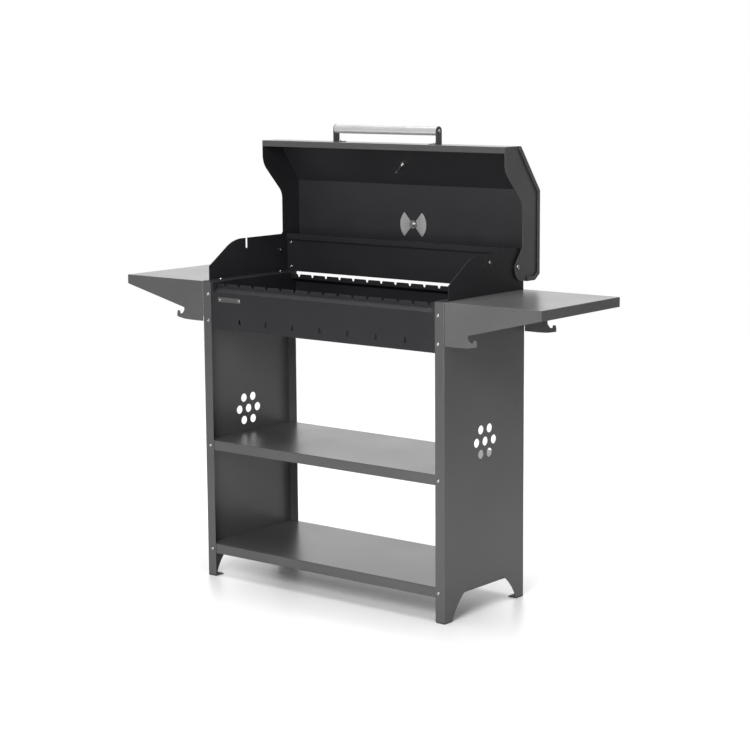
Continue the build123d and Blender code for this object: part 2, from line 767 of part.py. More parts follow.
ear_y = pivot_y + ear_inset
ear_z = pivot_z - ear_drop
ear_radius = lid_tail - sheet - ear_drop
edge_y = pivot_y + side_edge_inset
ear_shoulder = (edge_y, pivot_z + ear_shoulder_rise)
shoulder_distance = math.dist(ear_shoulder, (ear_y, ear_z))
shoulder_angle = math.atan2(ear_shoulder[1] - ear_z, ear_shoulder[0] - ear_y)
tangent_angle = shoulder_angle + math.acos(ear_radius / shoulder_distance)
ear_tangent = (
    ear_y + ear_radius * math.cos(tangent_angle),
    ear_z + ear_radius * math.sin(tangent_angle),
)
middle_angle = (tangent_angle + 1.5 * math.pi) / 2
ear_middle = (
    ear_y + ear_radius * math.cos(middle_angle),
    ear_z + ear_radius * math.sin(middle_angle),
)
with BuildPart() as right_lid_plate:
    with BuildSketch(Plane.YZ.offset(plate_inside)):
        with BuildLine():
            FilletPolyline(
                ear_shoulder,
                (edge_y, lid_top - side_edge_turn_low),
                (lid_front, lid_top - side_edge_turn_high),
                (lid_front, lid_top),
                radius=(side_edge_low_radius, side_edge_high_radius),
            )
            Polyline((lid_front, lid_top), (lid_shoulder, lid_top), *inner_back_line)
            Line(inner_back_line[-1], (ear_y, ear_z - ear_radius))
            ThreePointArc((ear_y, ear_z - ear_radius), ear_middle, ear_tangent)
            Line(ear_tangent, ear_shoulder)
        make_face()
        with Locations((pivot_y, pivot_z)):
            Circle(hinge_screw[0] + pin_play, mode=Mode.SUBTRACT)
    extrude(amount=sheet)
with BuildPart() as left_lid_plate:
    mirror(right_lid_plate.part, about=Plane.YZ)
write(right_lid_plate, "right_lid_plate")
write(left_lid_plate, "left_lid_plate")

# ---------------------------------------------------------------- handle
tube_bore = handle_radius - handle_wall
with BuildPart() as handle_tube:
    with BuildSketch(Plane.YZ.offset(-handle_length / 2)):
        with Locations((handle_y, handle_z)):
            Circle(handle_radius)
            Circle(tube_bore, mode=Mode.SUBTRACT)
    extrude(amount=handle_length)
write(handle_tube, "handle_tube")

with BuildPart() as handle_plugs:
    for start in (-handle_length / 2, handle_length / 2 - handle_plug_length):
        with BuildSketch(Plane.YZ.offset(start)):
            with Locations((handle_y, handle_z)):
                Circle(tube_bore)
                Circle(frame_screw[0], mode=Mode.SUBTRACT)
        extrude(amount=handle_plug_length)
write(handle_plugs, "handle_plugs")

with BuildPart() as right_handle_bracket:
    with BuildSketch(Plane.YZ.offset(bracket_face)):
        with Locations((handle_y, handle_z)):
            Circle(handle_bracket_radius)
            Rectangle(2 * handle_bracket_radius, handle_stand, align=(Align.CENTER, Align.MAX))
            Circle(frame_screw[0], mode=Mode.SUBTRACT)
    extrude(amount=handle_bracket_sheet)
    with Locations((bracket_face + handle_bracket_sheet, handle_y, lid_top)):
        Box(
            handle_foot,
            2 * handle_bracket_radius,
            handle_bracket_sheet,
            align=(Align.MAX, Align.CENTER, Align.MIN),
        )
    with BuildSketch(Plane.XY.offset(lid_top)):
        with Locations(bracket_screw_points[1]):
            Circle(screen_screw[0])
    extrude(amount=handle_bracket_sheet, mode=Mode.SUBTRACT)
with BuildPart() as left_handle_bracket:
    mirror(right_handle_bracket.part, about=Plane.YZ)
write(right_handle_bracket, "right_handle_bracket")
write(left_handle_bracket, "left_handle_bracket")

# ---------------------------------------------------------------- thermometer
glass_seat = dial_height - glass_thickness
dial_bore = dial_radius - dial_wall
with BuildPart() as thermometer_case:
    with BuildSketch(dial_plane):
        Circle(dial_radius)
    extrude(amount=dial_height)
    with BuildSketch(dial_plane.offset(dial_wall)):
        Circle(dial_bore)
    extrude(amount=dial_height, mode=Mode.SUBTRACT)
write(thermometer_case, "thermometer_case")

with BuildPart() as thermometer_dial:
    with BuildSketch(dial_plane.offset(dial_wall)):
        Circle(dial_bore)
        Circle(spindle_radius + pin_play, mode=Mode.SUBTRACT)
    extrude(amount=dial_sheet)
write(thermometer_dial, "thermometer_dial")

dial_top = dial_wall + dial_sheet
needle_reach = dial_radius - needle_tip_gap
with BuildPart() as thermometer_needle:
    with BuildSketch(dial_plane.offset(dial_top + rub_gap)):
        Circle(needle_boss_radius)
        with Locations(Rotation(0, 0, needle_turn)):
            Polygon(
                (-needle_tail, -needle_half_width),
                (-needle_tail, needle_half_width),
                (needle_reach, needle_tip_half_width),
                (needle_reach, -needle_tip_half_width),
                align=None,
            )
    extrude(amount=needle_sheet)
    with BuildSketch(dial_plane.offset(dial_wall + rub_gap)):
        Circle(spindle_radius)
    extrude(amount=dial_sheet)
write(thermometer_needle, "thermometer_needle")

with BuildPart() as thermometer_glass:
    with BuildSketch(dial_plane.offset(glass_seat)):
        Circle(dial_bore)
    extrude(amount=glass_thickness)
write(thermometer_glass, "thermometer_glass")

with BuildPart() as thermometer_bezel:
    with BuildSketch(dial_plane.offset(dial_height)):
        Circle(dial_radius + bezel_overhang)
        Circle(dial_radius + bezel_overhang - bezel_width, mode=Mode.SUBTRACT)
    extrude(amount=bezel_height)
write(thermometer_bezel, "thermometer_bezel")

with BuildPart() as thermometer_stem:
    with BuildSketch(dial_plane):
        Circle(neck_radius)
    extrude(amount=-neck_length)
    with BuildSketch(dial_plane.offset(-neck_length)):
        Circle(probe_radius)
    extrude(amount=neck_length - probe_length)
write(thermometer_stem, "thermometer_stem")

with BuildPart() as thermometer_nut:
    with BuildSketch(dial_plane.offset(-sheet)):
        RegularPolygon(neck_nut[0] / 2, 6, major_radius=False)
        Circle(neck_radius, mode=Mode.SUBTRACT)
    extrude(amount=-neck_nut[1])
write(thermometer_nut, "thermometer_nut")

# ---------------------------------------------------------------- damper
# A disc turns on the outside of the lid's top panel; a quarter turn lines its ports up with
# the panel's ports.
disc_face = lid_back + rub_gap
damper_plane = Plane(origin=(0, disc_face, damper_z), x_dir=(-1, 0, 0), z_dir=rear)
with BuildPart() as damper_disc:
    with BuildSketch(damper_plane):
        Circle(damper_disc_radius)
        add(damper_ports(90, 180 - damper_port_width - 2 * damper_overlap), mode=Mode.SUBTRACT)
        Circle(frame_screw[0] + pin_play, mode=Mode.SUBTRACT)
    extrude(amount=damper_disc_sheet)
    with Locations((0, disc_face, damper_z + damper_disc_radius - bend_radius / 2)):
        Box(*damper_tab, damper_disc_sheet, align=(Align.CENTER, Align.MIN, Align.MAX))
write(damper_disc, "damper_disc")

# A washer and nut inside the lid hold the damper's screw.
with BuildPart() as damper_washer_piece:
    with BuildSketch(damper_plane.offset(-rub_gap - sheet)):
        Circle(damper_washer[0])
        Circle(frame_screw[0], mode=Mode.SUBTRACT)
    extrude(amount=-damper_washer[1])
write(damper_washer_piece, "damper_washer")
damper_grip = sheet + damper_washer[1]

damper_screw_grip = damper_disc_sheet + 2 * rub_gap + damper_grip
with BuildPart() as damper_screw:
    with Locations(damper_plane.offset(damper_disc_sheet + rub_gap)):
        add(screw(frame_screw, damper_screw_grip, frame_screw[4] + screw_overrun))
write(damper_screw, "damper_screw")

with BuildPart() as damper_nut:
    with Locations(damper_plane.offset(-rub_gap)):
        add(nut(frame_screw, damper_grip))
write(damper_nut, "damper_nut")

# ---------------------------------------------------------------- fasteners
firebox_grip = sheet + firebox_sheet
shelf_grip = 2 * sheet


def place_fasteners(name, part, planes):
    """Write one group of identical fasteners, each on its own plane."""
    with BuildPart() as group:
        with Locations(*planes):
            add(part)
    write(group, name)


def frame_planes(heights):
    """Front and rear planes of the frame screws at the given heights."""
    points = [(side * screw_x, z) for side in (-1, 1) for z in heights]
    return facing(front, [(x, -half_depth, z) for x, z in points]) + facing(
        rear, [(x, half_depth, z) for x, z in points]
    )


frame_sets = (
    ("firebox", firebox_screw_heights, firebox_grip),
    ("shelf", shelf_screw_heights, shelf_grip),
)
for set_name, heights, grip in frame_sets:
    planes = frame_planes(heights)
    place_fasteners(f"{set_name}_screws", screw(frame_screw, grip, frame_screw[4] + screw_overrun), planes)
    place_fasteners(f"{set_name}_nuts", nut(frame_screw, grip), planes)

cheek_grip = 2 * sheet + firebox_sheet
cheek_planes = facing((0, 0, 1), [(x, y, table_height + sheet) for x, y in cheek_screw_points])
place_fasteners(
    "cheek_screws", screw(frame_screw, cheek_grip, frame_screw[4] + screw_overrun), cheek_planes
)
place_fasteners("cheek_nuts", nut(frame_screw, cheek_grip), cheek_planes)

screen_grip = 2 * sheet
screen_planes = facing(front, [(x, screen_back - sheet, z) for x, z in screen_screw_points])
place_fasteners(
    "windscreen_screws", screw(screen_screw, screen_grip, screen_screw[4] + screw_overrun), screen_planes
)
place_fasteners("windscreen_nuts", nut(screen_screw, screen_grip), screen_planes)

table_planes = []
for side in (-1, 1):
    places = [(side * (half_length + sheet), y, z) for y, z in table_screw_points]
    table_planes += facing((side, 0, 0), places)
place_fasteners(
    "table_screws", screw(frame_screw, 2 * sheet, frame_screw[4] + screw_overrun), table_planes
)
place_fasteners("table_nuts", nut(frame_screw, 2 * sheet), table_planes)

# Hinge screws are fixed in the cheeks; the lid's side plates turn on their shanks.
hinge_head = plate_outside + rub_gap
hinge_planes = [
    Plane(origin=(side * hinge_head, pivot_y, pivot_z), x_dir=(0, 1, 0), z_dir=(side, 0, 0))
    for side in (-1, 1)
]
hinge_grip = hinge_head - cheek_inside
place_fasteners(
    "hinge_screws", screw(hinge_screw, hinge_grip, hinge_screw[4] + screw_overrun), hinge_planes
)
place_fasteners("hinge_nuts", nut(hinge_screw, hinge_grip), hinge_planes)

with BuildPart() as hinge_spacers:
    for start in (-plate_inside + rub_gap, cheek_outside):
        with BuildSketch(Plane.YZ.offset(start)):
            with Locations((pivot_y, pivot_z)):
                Circle(hinge_screw[0] + hinge_spacer_wall)
                Circle(hinge_screw[0], mode=Mode.SUBTRACT)
        extrude(amount=hinge_gap - rub_gap)
write(hinge_spacers, "hinge_spacers")

stud_planes = facing((1, 0, 0), [(cheek_outside, *motor_stud_point)])
place_fasteners("motor_stud", screw(screen_screw, sheet, screen_screw[4] + screw_overrun), stud_planes)
place_fasteners("motor_stud_nut", nut(screen_screw, sheet), stud_planes)

bracket_top = lid_top + handle_bracket_sheet
bracket_planes = facing((0, 0, 1), [(x, y, bracket_top) for x, y in bracket_screw_points])
bracket_grip = handle_bracket_sheet + sheet
place_fasteners(
    "bracket_screws", screw(screen_screw, bracket_grip, screen_screw[4] + screw_overrun), bracket_planes
)
place_fasteners("bracket_nuts", nut(screen_screw, bracket_grip), bracket_planes)

handle_planes = []
for side in (-1, 1):
    end = (side * (bracket_face + handle_bracket_sheet), handle_y, handle_z)
    handle_planes += facing((side, 0, 0), [end])
handle_screw_reach = handle_plug_length - plug_screw_gap
place_fasteners(
    "handle_screws", screw(frame_screw, handle_bracket_sheet, handle_screw_reach), handle_planes
)
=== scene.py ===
import json
import math

import bmesh
import bpy
from mathutils import Matrix, Vector


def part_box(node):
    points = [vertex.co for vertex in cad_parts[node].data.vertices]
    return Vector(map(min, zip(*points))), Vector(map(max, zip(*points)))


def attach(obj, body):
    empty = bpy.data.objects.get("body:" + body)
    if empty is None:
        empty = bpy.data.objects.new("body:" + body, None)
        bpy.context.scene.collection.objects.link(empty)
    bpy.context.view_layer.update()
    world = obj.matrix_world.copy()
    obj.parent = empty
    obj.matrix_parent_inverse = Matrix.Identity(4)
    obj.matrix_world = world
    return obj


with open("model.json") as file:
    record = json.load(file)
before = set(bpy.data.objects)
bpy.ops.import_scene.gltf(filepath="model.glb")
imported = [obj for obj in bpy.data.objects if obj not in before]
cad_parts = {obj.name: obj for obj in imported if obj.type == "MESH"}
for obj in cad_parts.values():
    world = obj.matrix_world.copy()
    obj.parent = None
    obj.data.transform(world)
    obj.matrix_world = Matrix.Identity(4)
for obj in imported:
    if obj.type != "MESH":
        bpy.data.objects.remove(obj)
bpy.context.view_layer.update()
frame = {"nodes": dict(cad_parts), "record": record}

record = frame["record"]
nodes = frame["nodes"]
scene = bpy.context.scene
print("frame loaded:", len(nodes), "nodes")


def jointNamed(name):
    return [joint for joint in record["behaviour"]["joints"] if joint["name"] == name][0]


cameraSpot = {
    "place": (3.49333, -4.25267, 1.47856),
    "turn": (1.412286, 0.0071918, 0.6793742),
    "lens": 96.52,
    "sensor": 36.0,
    "farthest": 60,
}


def makeCamera():
    data = bpy.data.cameras.new("camera")
    data.lens = cameraSpot["lens"]
    data.sensor_width = cameraSpot["sensor"]
    data.clip_end = cameraSpot["farthest"]
    camera = bpy.data.objects.new("camera", data)
    camera.location = cameraSpot["place"]
    camera.rotation_euler = cameraSpot["turn"]
    scene.collection.objects.link(camera)
    scene.camera = camera


studio = {
    "backdrop": 1.0,
    "ambient": 0.29,
    "floorRadius": 9.0,
    "aim": (0.0, 0.0, 0.7),
    "softboxes": [
        # name, place, size, watts
        ("keyBox", (1.2, -3.2, 2.3), (1.6, 1.6), 108),
        ("lowBox", (0.9, -2.4, 0.6), (0.7, 0.7), 16),
        ("topBox", (0.2, 0.2, 4.2), (3.6, 3.6), 170),
        ("rearWall", (-3.6, 5.2, 2.4), (11.0, 4.8), 210),
    ],
}


def makeLights():
    world = bpy.data.worlds.new("studio")
    scene.world = world
    world.use_nodes = True
    tree = world.node_tree
    background = tree.nodes["Background"]
    background.inputs["Color"].default_value = (1, 1, 1, 1)
    # seen directly the room is white, while what it casts on the grill is dimmer
    seen = tree.nodes.new("ShaderNodeLightPath")
    level = tree.nodes.new("ShaderNodeMapRange")
    level.inputs["To Min"].default_value = studio["ambient"]
    level.inputs["To Max"].default_value = studio["backdrop"]
    tree.links.new(seen.outputs["Is Camera Ray"], level.inputs["Value"])
    tree.links.new(level.outputs["Result"], background.inputs["Strength"])
    for name, place, size, watts in studio["softboxes"]:
        data = bpy.data.lights.new(name, "AREA")
        data.shape = "RECTANGLE"
        data.size, data.size_y = size
        data.energy = watts
        lamp = bpy.data.objects.new(name, data)
        lamp.location = place
        lamp.rotation_euler = (Vector(studio["aim"]) - Vector(place)).to_track_quat("-Z", "Y").to_euler()
        scene.collection.objects.link(lamp)
    scene.view_settings.view_transform = "Standard"


class Amount:
    # a number socket: sums on it add Math nodes
    def __init__(self, shader, socket):
        self.shader = shader
        self.socket = socket

    def maths(self, operation, first, second):
        node = self.shader.node("ShaderNodeMath", {"operation": operation}, {0: first, 1: second})
        return Amount(self.shader, node.outputs[0])

    def __add__(self, other):
        return self.maths("ADD", self, other)

    def __mul__(self, other):
        return self.maths("MULTIPLY", self, other)

    def __sub__(self, other):
        return self.maths("SUBTRACT", self, other)

    __rmul__ = __mul__


class Shader:
    def __init__(self, name):
        self.material = bpy.data.materials.new(name)
        self.material.use_nodes = True
        self.tree = self.material.node_tree
        self.tree.nodes.clear()
        coordinates = self.node("ShaderNodeTexCoord", {}, {})
        self.place = coordinates.outputs["Object"]
        self.facing = coordinates.outputs["Normal"]

    def node(self, kind, settings, sockets):
        made = self.tree.nodes.new(kind)
        for key, value in settings.items():
            if key == "stops":
                ramp = made.color_ramp
                while len(ramp.elements) < len(value):
                    ramp.elements.new(1)
                for element, (position, colour) in zip(ramp.elements, value):
                    element.position = position
                    element.color = colour
            else:
                setattr(made, key, value)
        for key, value in sockets.items():
            socket = made.inputs[key]
            if isinstance(value, Amount):
                value = value.socket
            if isinstance(value, bpy.types.NodeSocket):
                self.tree.links.new(value, socket)
            else:
                socket.default_value = value
        return made

    def stretched(self, scale):
        mapping = self.node("ShaderNodeMapping", {}, {"Vector": self.place, "Scale": scale})
        return mapping.outputs["Vector"]

    def noise(self, scale, detail=2.0, place=None):
        made = self.node(
            "ShaderNodeTexNoise", {}, {"Vector": place or self.place, "Scale": scale, "Detail": detail}
        )
        return Amount(self, made.outputs["Fac"])

    def spread(self, amount, low, high):
        # a noise value, mostly 0.3 to 0.7, taken to the range low to high
        made = self.node("ShaderNodeMapRange", {}, {
            "Value": amount, "From Min": 0.3, "From Max": 0.7, "To Min": low, "To Max": high,
        })
        return Amount(self, made.outputs["Result"])

    def vector(self, operation, first, second):
        return self.node("ShaderNodeVectorMath", {"operation": operation}, {0: first, 1: second}).outputs[0]

    def length(self, vector):
        made = self.node("ShaderNodeVectorMath", {"operation": "LENGTH"}, {0: vector})
        return Amount(self, made.outputs["Value"])

    def inner(self, first, second):
        # dot product of two vectors
        made = self.node("ShaderNodeVectorMath", {"operation": "DOT_PRODUCT"}, {0: first, 1: second})
        return Amount(self, made.outputs["Value"])

    def ramp(self, amount, start, end, low=0.0, high=1.0):
        made = self.node("ShaderNodeMapRange", {"interpolation_type": "SMOOTHSTEP"}, {
            "Value": amount, "From Min": start, "From Max": end, "To Min": low, "To Max": high,
        })
        return Amount(self, made.outputs["Result"])

    def mix(self, factor, first, second):
        made = self.node("ShaderNodeMix", {"data_type": "RGBA"}, {0: factor, 6: first, 7: second})
        return made.outputs[2]

    def bump(self, height, relief):
        made = self.node("ShaderNodeBump", {}, {
            "Height": height, "Distance": relief["distance"], "Strength": relief["strength"],
        })
        return made.outputs["Normal"]

    def finish(self, sockets):
        surface = self.node("ShaderNodeBsdfPrincipled", {}, sockets)
        self.node("ShaderNodeOutputMaterial", {}, {"Surface": surface.outputs[0]})
        return self.material


def grey(level, tint=(1.0, 1.0, 1.0)):
    return (level * tint[0], level * tint[1], level * tint[2], 1.0)


graphiteCoat = {"dark": 0.052, "light": 0.070, "tint": (1.0, 0.99, 1.02), "roughLow": 0.27, "roughHigh": 0.36,
                "specular": 0.5, "peel": 420.0, "flake": 2600.0}
paintRelief = {"distance": 0.00012, "strength": 0.5}
heatCoat = {"dark": 0.010, "light": 0.015, "tint": (1.03, 0.96, 1.14), "roughLow": 0.44, "roughHigh": 0.58,
            "specular": 0.3, "peel": 520.0, "flake": 3000.0}


def coatLook(shader, coat):
    # colour, roughness and height of sprayed paint: orange peel, fine flake and a slow drift in shade
    drift = shader.noise(5.0, 3.0)
    flake = shader.noise(coat["flake"], 1.0)
    peel = shader.noise(coat["peel"], 2.0)
    shade = shader.spread(0.55 * drift + 0.45 * flake, 0.0, 1.0)
    colour = shader.mix(shade, grey(coat["dark"], coat["tint"]), grey(coat["light"], coat["tint"]))
    rough = shader.spread(0.6 * drift + 0.4 * peel, coat["roughLow"], coat["roughHigh"])
    return colour, rough, 0.7 * peel + 0.3 * flake


# the tables are a shade lighter than the stand
tableCoat = dict(graphiteCoat, dark=0.064, light=0.086)


def powderCoat(name, coat):
    shader = Shader(name)
    colour, rough, height = coatLook(shader, coat)
    return shader.finish({
        "Base Color": colour,
        "Roughness": rough,
        "Specular IOR Level": coat["specular"],
        "Normal": shader.bump(height, paintRelief),
    })


lidPaint = {"depthShare": 0.3, "edge": 0.004}


def lidCoat(name, outside, inside):
    # the lid is graphite outside and heat paint on every face that looks at its middle
    shader = Shader(name)
    outColour, outRough, height = coatLook(shader, outside)
    inColour, inRough, _ = coatLook(shader, inside)
    low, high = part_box("left_lid_plate")
    middleY = low[1] + (high[1] - low[1]) * lidPaint["depthShare"]
    away = shader.vector("SUBTRACT", shader.place, (0.0, middleY, (low[2] + high[2]) / 2))
    inward = shader.ramp(shader.inner(away, shader.facing), lidPaint["edge"], -lidPaint["edge"])
    colour = shader.mix(inward, outColour, inColour)
    return shader.finish({
        "Base Color": colour,
        "Roughness": outRough + (inRough - outRough) * inward,
        "Specular IOR Level": outside["specular"],
        "Normal": shader.bump(height, paintRelief),
    })


brushedSteel = {"dark": 0.50, "light": 0.68, "tint": (1.0, 0.985, 0.96), "roughLow": 0.20, "roughHigh": 0.36,
                "metal": 1.0}
handleSteel = {"dark": 0.55, "light": 0.62, "tint": (1.0, 1.0, 0.99), "roughLow": 0.28, "roughHigh": 0.40,
               "metal": 0.55}
plateSteel = {"dark": 0.085, "light": 0.125, "tint": (1.0, 1.0, 1.02), "roughLow": 0.34, "roughHigh": 0.46,
              "metal": 0.6}


brushing = {"stretch": 0.012, "fine": 2400.0, "smear": 14.0}
brushRelief = {"distance": 0.00004, "strength": 0.5}


def brushedMetal(name, steel, along):
    # long fine scratches along one axis
    shader = Shader(name)
    scale = [1.0, 1.0, 1.0]
    scale["XYZ".index(along)] = brushing["stretch"]
    grain = shader.noise(brushing["fine"], 2.0, shader.stretched(scale))
    smear = shader.noise(brushing["smear"], 3.0)
    shade = shader.spread(0.65 * grain + 0.35 * smear, 0.0, 1.0)
    colour = shader.mix(shade, grey(steel["dark"], steel["tint"]), grey(steel["light"], steel["tint"]))
    rough = shader.spread(0.5 * grain + 0.5 * smear, steel["roughLow"], steel["roughHigh"])
    return shader.finish({
        "Base Color": colour,
        "Roughness": rough,
        "Metallic": steel["metal"],
        "Normal": shader.bump(grain, brushRelief),
    })


# near and far are the greys at the hub and at the rim; the lighter rim grey is painted sheen
turnedDisc = {"centre": tuple(jointNamed("damper_turn")["pos_m"]), "rings": 1500.0,
              "inner": 0.016, "outer": 0.050, "near": 0.50, "far": 0.66,
              "metal": 0.75, "roughLow": 0.30, "roughHigh": 0.40,
              "distance": 0.00002, "strength": 0.4}


def turnedMetal(name, disc):
    # faint rings round a centre, and a painted sheen that lightens the colour towards the rim
    shader = Shader(name)
    away = shader.vector("SUBTRACT", shader.place, disc["centre"])
    reach = shader.length(away)
    rings = Amount(shader, shader.node("ShaderNodeTexNoise", {"noise_dimensions": "1D"}, {
        "W": reach, "Scale": disc["rings"], "Detail": 2.0,
    }).outputs["Fac"])
    # painted sheen: the grey rises from the hub out to the rim, standing in for the disc's reflection
    rimSheen = shader.ramp(reach, disc["inner"], disc["outer"])
    shade = 0.8 * rimSheen + 0.2 * shader.spread(rings, 0.0, 1.0)
    return shader.finish({
        "Base Color": shader.mix(shade, grey(disc["near"]), grey(disc["far"])),
        "Roughness": shader.spread(rings, disc["roughLow"], disc["roughHigh"]),
        "Metallic": disc["metal"],
        "Normal": shader.bump(rings, disc),
    })


zincLook = {"turned": 1600.0, "cloud": 60.0, "roughLow": 0.18, "roughHigh": 0.34,
            "lowTint": (1.0, 1.0, 0.98), "distance": 0.00003, "strength": 0.4}


def platedMetal(name, low, high):
    # zinc on turned and pressed screws
    shader = Shader(name)
    turned = shader.noise(zincLook["turned"], 2.0)
    cloud = shader.noise(zincLook["cloud"], 2.0)
    shade = shader.spread(0.5 * turned + 0.5 * cloud, 0.0, 1.0)
    colour = shader.mix(shade, grey(low, zincLook["lowTint"]), grey(high))
    return shader.finish({
        "Base Color": colour,
        "Roughness": shader.spread(cloud, zincLook["roughLow"], zincLook["roughHigh"]),
        "Metallic": 1.0,
        "Normal": shader.bump(turned, zincLook),
    })


plasticLook = {"grain": 1500.0, "cloud": 30.0, "darker": 0.8, "lighter": 1.25,
               "roughLow": 0.52, "roughHigh": 0.68, "distance": 0.0001, "strength": 0.5}


def mouldedPlastic(name, level):
    shader = Shader(name)
    grain = shader.noise(plasticLook["grain"], 3.0)
    cloud = shader.noise(plasticLook["cloud"], 2.0)
    dark = grey(level * plasticLook["darker"])
    light = grey(level * plasticLook["lighter"])
    colour = shader.mix(shader.spread(cloud, 0.0, 1.0), dark, light)
    return shader.finish({
        "Base Color": colour,
        "Roughness": shader.spread(grain, plasticLook["roughLow"], plasticLook["roughHigh"]),
        "Normal": shader.bump(grain, plasticLook),
    })


enamelLook = {"cloud": 90.0, "fleck": 2200.0, "distance": 0.00002, "strength": 0.3}


def enamel(name, low, high, roughLow, roughHigh):
    shader = Shader(name)
    cloud = shader.noise(enamelLook["cloud"], 3.0)
    fleck = shader.noise(enamelLook["fleck"], 1.0)
    colour = shader.mix(shader.spread(0.7 * cloud + 0.3 * fleck, 0.0, 1.0), low, high)
    return shader.finish({
        "Base Color": colour,
        "Roughness": shader.spread(cloud, roughLow, roughHigh),
        "Normal": shader.bump(fleck, enamelLook),
    })


glassLook = {"colour": (0.97, 0.985, 0.98, 1.0), "smudge": 70.0,
             "roughLow": 0.01, "roughHigh": 0.05, "bends": 1.45}


def clearGlass(name):
    shader = Shader(name)
    smudge = shader.noise(glassLook["smudge"], 3.0)
    return shader.finish({
        "Base Color": glassLook["colour"],
        "Roughness": shader.spread(smudge, glassLook["roughLow"], glassLook["roughHigh"]),
        "IOR": glassLook["bends"],
        "Transmission Weight": 1.0,
    })


paperLook = {"fibre": 220.0, "dark": 0.92, "light": 0.95, "roughLow": 0.30, "roughHigh": 0.36,
             "solid": 2.6, "gone": 6.0, "distance": 0.0001, "strength": 0.2}


def floorPaper(name):
    # pale paper that fades out into the white of the room
    shader = Shader(name)
    fibre = shader.noise(paperLook["fibre"], 3.0)
    colour = shader.mix(shader.spread(fibre, 0.0, 1.0), grey(paperLook["dark"]), grey(paperLook["light"]))
    fade = shader.ramp(shader.length(shader.place), paperLook["solid"], paperLook["gone"], 1.0, 0.0)
    return shader.finish({
        "Base Color": colour,
        "Roughness": shader.spread(fibre, paperLook["roughLow"], paperLook["roughHigh"]),
        "Alpha": fade,
        "Normal": shader.bump(fibre, paperLook),
    })


makeCamera()
makeLights()
finishes = {
    "graphite_paint": powderCoat("graphitePowderCoat", graphiteCoat),
    "black_heat_paint": powderCoat("blackHeatPaint", heatCoat),
    "brushed_stainless": brushedMetal("brushedStainless", brushedSteel, "X"),
    "dark_plate": brushedMetal("darkPlate", plateSteel, "X"),
    "bright_fasteners": platedMetal("zincPlate", 0.36, 0.52),
    "foot_plastic": mouldedPlastic("footPlastic", 0.02),
    "plug_plastic": mouldedPlastic("plugPlastic", 0.03),
    "dial_white": enamel("dialEnamel", grey(0.80), grey(0.86, (1, 1, 0.98)), 0.35, 0.45),
    "needle_red": enamel("needleEnamel", (0.50, 0.02, 0.01, 1), (0.60, 0.03, 0.02, 1), 0.25, 0.35),
    "dial_glass": clearGlass("dialGlass"),
}
# finishes that differ from the rest of their slot
ownFinish = {
    "handle_tube": brushedMetal("handleSteel", handleSteel, "X"),
    "damper_disc": turnedMetal("turnedDisc", turnedDisc),
    "name_plate_rivets": platedMetal("brightRivets", 0.70, 0.85),
}
tableFinish = powderCoat("tablePowderCoat", tableCoat)
for tablePiece in ("left_table", "right_table"):
    ownFinish[tablePiece] = tableFinish
lidFinish = lidCoat("lidCoat", graphiteCoat, heatCoat)
for lidPiece in ("lid_front_sheet", "lid_rear_sheet", "left_lid_plate", "right_lid_plate"):
    ownFinish[lidPiece] = lidFinish
print("materials made:", len(finishes) + len(ownFinish))


def dress(thing, material):
    thing.data.materials.clear()
    thing.data.materials.append(material)


edges = {
    "rounds": {
        "graphite_paint": 0.00060,
        "black_heat_paint": 0.00060,
        "brushed_stainless": 0.00040,
        "bright_fasteners": 0.00025,
        "dark_plate": 0.00020,
        "foot_plastic": 0.0010,
    },
    "steps": 2,
    "sharp": math.radians(32),
    "flat": math.radians(0.3),
    "weld": 0.00002,
}


def roundEdges(thing, width):
    weld = thing.modifiers.new("weld", "WELD")
    weld.merge_threshold = edges["weld"]
    flat = thing.modifiers.new("flat", "DECIMATE")
    flat.decimate_type = "DISSOLVE"
    flat.angle_limit = edges["flat"]
    bevel = thing.modifiers.new("edges", "BEVEL")
    bevel.width = width
    bevel.segments = edges["steps"]
    bevel.limit_method = "ANGLE"
    bevel.angle_limit = edges["sharp"]
    bevel.use_clamp_overlap = True
    bevel.harden_normals = True
    bevel.miter_outer = "MITER_ARC"
    weighted = thing.modifiers.new("weighted", "WEIGHTED_NORMAL")
    weighted.keep_sharp = True


for part in record["subparts"]:
    thing = nodes[part["node"]]
    slotName = part["material_slot"]
    dress(thing, ownFinish.get(part["node"], finishes[slotName]))
    if slotName in edges["rounds"]:
        roundEdges(thing, edges["rounds"][slotName])
print("CAD pieces dressed")


def makePiece(name, vertices, faces, body, material):
    mesh = bpy.data.meshes.new(name)
    mesh.from_pydata(vertices, [], faces)
    mesh.validate()
    work = bmesh.new()
    work.from_mesh(mesh)
    bmesh.ops.recalc_face_normals(work, faces=work.faces)
    work.to_mesh(mesh)
    work.free()
    for face in mesh.polygons:
        face.use_smooth = True
    thing = bpy.data.objects.new(name, mesh)
    scene.collection.objects.link(thing)
    dress(thing, material)
    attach(thing, body)
    return thing


def sweptRings(centres, across, up, outline):
    # joins one closed outline after another along a line of centres
    vertices = []
    faces = []
    count = len(outline)
    for centre, width, height in centres:
        for u, v in outline:
            vertices.append(centre + across * (u * width) + up * (v * height))
    for ring in range(len(centres) - 1):
        for index in range(count):
            after = (index + 1) % count
            faces.append((
                ring * count + index,
                ring * count + after,
                (ring + 1) * count + after,
                (ring + 1) * count + index,
            ))
    faces.append(tuple(range(count))[::-1])
    faces.append(tuple((len(centres) - 1) * count + index for index in range(count)))
    return vertices, faces


weldBead = {"radius": 0.0022, "ripple": 0.0026, "depth": 0.22, "ringsEach": 5, "sides": 10,
            "tip": 0.35, "widening": 30, "clear": 0.006, "topDrop": 0.040, "setIn": 0.0027, "inset": 0.0006}


